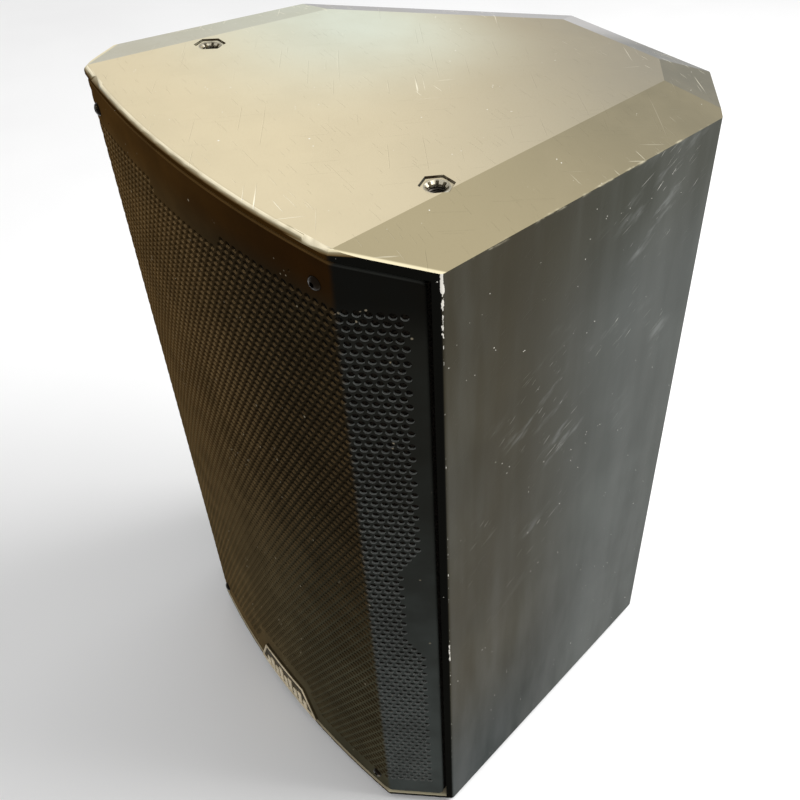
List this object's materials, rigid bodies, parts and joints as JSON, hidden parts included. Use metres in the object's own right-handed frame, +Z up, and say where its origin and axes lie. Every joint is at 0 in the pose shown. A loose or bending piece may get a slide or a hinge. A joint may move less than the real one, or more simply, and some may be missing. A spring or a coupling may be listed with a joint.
{
  "type": "two-way full-range loudspeaker cabinet",
  "caption": "Trapezoid plywood loudspeaker cabinet with a floor-monitor facet, wrap-round perforated grille, threaded fly points and a powered rear panel",
  "frame": {"origin": "on the floor under the middle of the cabinet's overall box, at the underside of its rubber feet", "axes": "+X to the right of a viewer who faces the grille; +Y from the grille to the back; +Z up"},
  "size_m": [0.3758, 0.3774, 0.62],
  "materials": {
    "cabinet_paint": "birch plywood under grey-brown semi-gloss lacquer, rubbed at the edges",
    "bare_plywood": "birch plywood stained dark",
    "grille_paint": "powder-coated perforated steel, satin",
    "black_foam": "open-cell acoustic foam, matt",
    "screw_steel": "black oxide, worn in the sockets",
    "badge_enamel": "white enamel in a raised satin border",
    "insert_steel": "zinc plated, dulled",
    "black_steel": "satin black powder coat",
    "rubber": "matt moulded rubber",
    "cast_frame": "die-cast, satin black",
    "surround_cloth": "doped cloth",
    "paper_cone": "treated paper pulp",
    "copper_coil": "enamelled copper wire on an amber former",
    "plated_steel": "zinc plated",
    "ferrite": "sintered ferrite, matt",
    "black_plastic": "fine-grained moulding",
    "titanium": "thin rolled titanium",
    "circuit_board": "solder mask over glass laminate",
    "capacitor_sleeve": "shrunk sleeve",
    "transformer_tape": "wound polyester tape",
    "control_plastic": "satin moulding",
    "status_lens": "tinted clear lens",
    "wadding": "polyester wadding"
  },
  "bodies": {
    "cabinet": {"top_panel": "cabinet_paint", "bottom_panel": "cabinet_paint", "side_panel_right": "cabinet_paint", "side_panel_left": "cabinet_paint", "back_panel": "cabinet_paint", "rear_corner_panel": "cabinet_paint", "monitor_panel": "cabinet_paint", "front_baffle": "bare_plywood", "internal_brace": "bare_plywood", "grille_rails": "bare_plywood", "grille": "grille_paint", "grille_foam": "black_foam", "grille_screws": "screw_steel", "pole_cup_screws": "screw_steel", "handle_screws": "screw_steel", "woofer_screws": "screw_steel", "horn_screws": "screw_steel", "amp_screws": "screw_steel", "badge_plate": "badge_enamel", "fly_point_inserts": "insert_steel", "pole_cup": "black_steel", "handle_dish": "black_steel", "rubber_feet": "rubber", "handle_grip": "rubber", "woofer_basket": "cast_frame", "amp_chassis": "cast_frame", "woofer_surround": "surround_cloth", "woofer_spider": "surround_cloth", "woofer_top_plate": "plated_steel", "woofer_back_plate": "plated_steel", "compression_driver_body": "plated_steel", "woofer_magnet": "ferrite", "hf_magnet": "ferrite", "horn": "black_plastic", "phase_plug": "black_plastic", "hf_rear_cap": "black_plastic", "port_tubes": "black_plastic", "combo_jacks": "black_plastic", "link_output": "black_plastic", "mains_inlet": "black_plastic", "power_switch_frame": "black_plastic", "amp_circuit_board": "circuit_board", "filter_capacitors": "capacitor_sleeve", "power_transformer": "transformer_tape", "status_lights": "status_lens", "damping_wadding": "wadding"},
    "woofer_cone": {"woofer_cone": "paper_cone", "woofer_dust_cap": "paper_cone", "woofer_voice_coil": "copper_coil"},
    "hf_diaphragm": {"hf_diaphragm": "titanium"},
    "level_knob_1": {"level_knob_1": "control_plastic"},
    "level_knob_2": {"level_knob_2": "control_plastic"},
    "input_button_1": {"input_button_1": "control_plastic"},
    "input_button_2": {"input_button_2": "control_plastic"},
    "eq_button": {"eq_button": "control_plastic"},
    "jack_latch_1": {"jack_latch_1": "control_plastic"},
    "jack_latch_2": {"jack_latch_2": "control_plastic"},
    "power_rocker": {"power_rocker": "control_plastic"},
    "fuse_drawer": {"fuse_drawer": "black_plastic"}
  },
  "joints": [
    {"name": "woofer_stroke", "type": "slide", "parent": "cabinet", "child": "woofer_cone", "axis": [0, -1, 0], "range_m": [-0.005, 0.005], "stiffness_N_per_m": 2500, "deforming": ["woofer_surround", "woofer_spider"]},
    {"name": "hf_diaphragm_stroke", "type": "slide", "parent": "cabinet", "child": "hf_diaphragm", "axis": [0, -1, 0], "range_m": [-0.0003, 0.0003], "stiffness_N_per_m": 3000},
    {"name": "input_button_1_press", "type": "slide", "parent": "cabinet", "child": "input_button_1", "axis": [0, -1, 0], "range_m": [0, 0.002], "stiffness_N_per_m": 500, "springref_m": -0.001},
    {"name": "input_button_2_press", "type": "slide", "parent": "cabinet", "child": "input_button_2", "axis": [0, -1, 0], "range_m": [0, 0.002], "stiffness_N_per_m": 500, "springref_m": -0.001},
    {"name": "eq_button_press", "type": "slide", "parent": "cabinet", "child": "eq_button", "axis": [0, -1, 0], "range_m": [0, 0.002], "stiffness_N_per_m": 500, "springref_m": -0.001},
    {"name": "jack_latch_1_press", "type": "slide", "parent": "cabinet", "child": "jack_latch_1", "axis": [0, -1, 0], "range_m": [0, 0.0012], "stiffness_N_per_m": 500, "springref_m": -0.001},
    {"name": "jack_latch_2_press", "type": "slide", "parent": "cabinet", "child": "jack_latch_2", "axis": [0, -1, 0], "range_m": [0, 0.0012], "stiffness_N_per_m": 500, "springref_m": -0.001},
    {"name": "fuse_drawer_pull", "type": "slide", "parent": "cabinet", "child": "fuse_drawer", "axis": [0, 1, 0], "range_m": [0, 0.012]},
    {"name": "level_knob_1_turn", "type": "hinge", "parent": "cabinet", "child": "level_knob_1", "pos_m": [0.0245, 0.15675, 0.378], "axis": [0, 1, 0], "range_deg": [-150, 150]},
    {"name": "level_knob_2_turn", "type": "hinge", "parent": "cabinet", "child": "level_knob_2", "pos_m": [0.0725, 0.15675, 0.378], "axis": [0, 1, 0], "range_deg": [-150, 150]},
    {"name": "power_rocker_tilt", "type": "hinge", "parent": "cabinet", "child": "power_rocker", "pos_m": [0.0725, 0.15525, 0.284], "axis": [-1, 0, 0], "range_deg": [0, 18]}
  ]
}
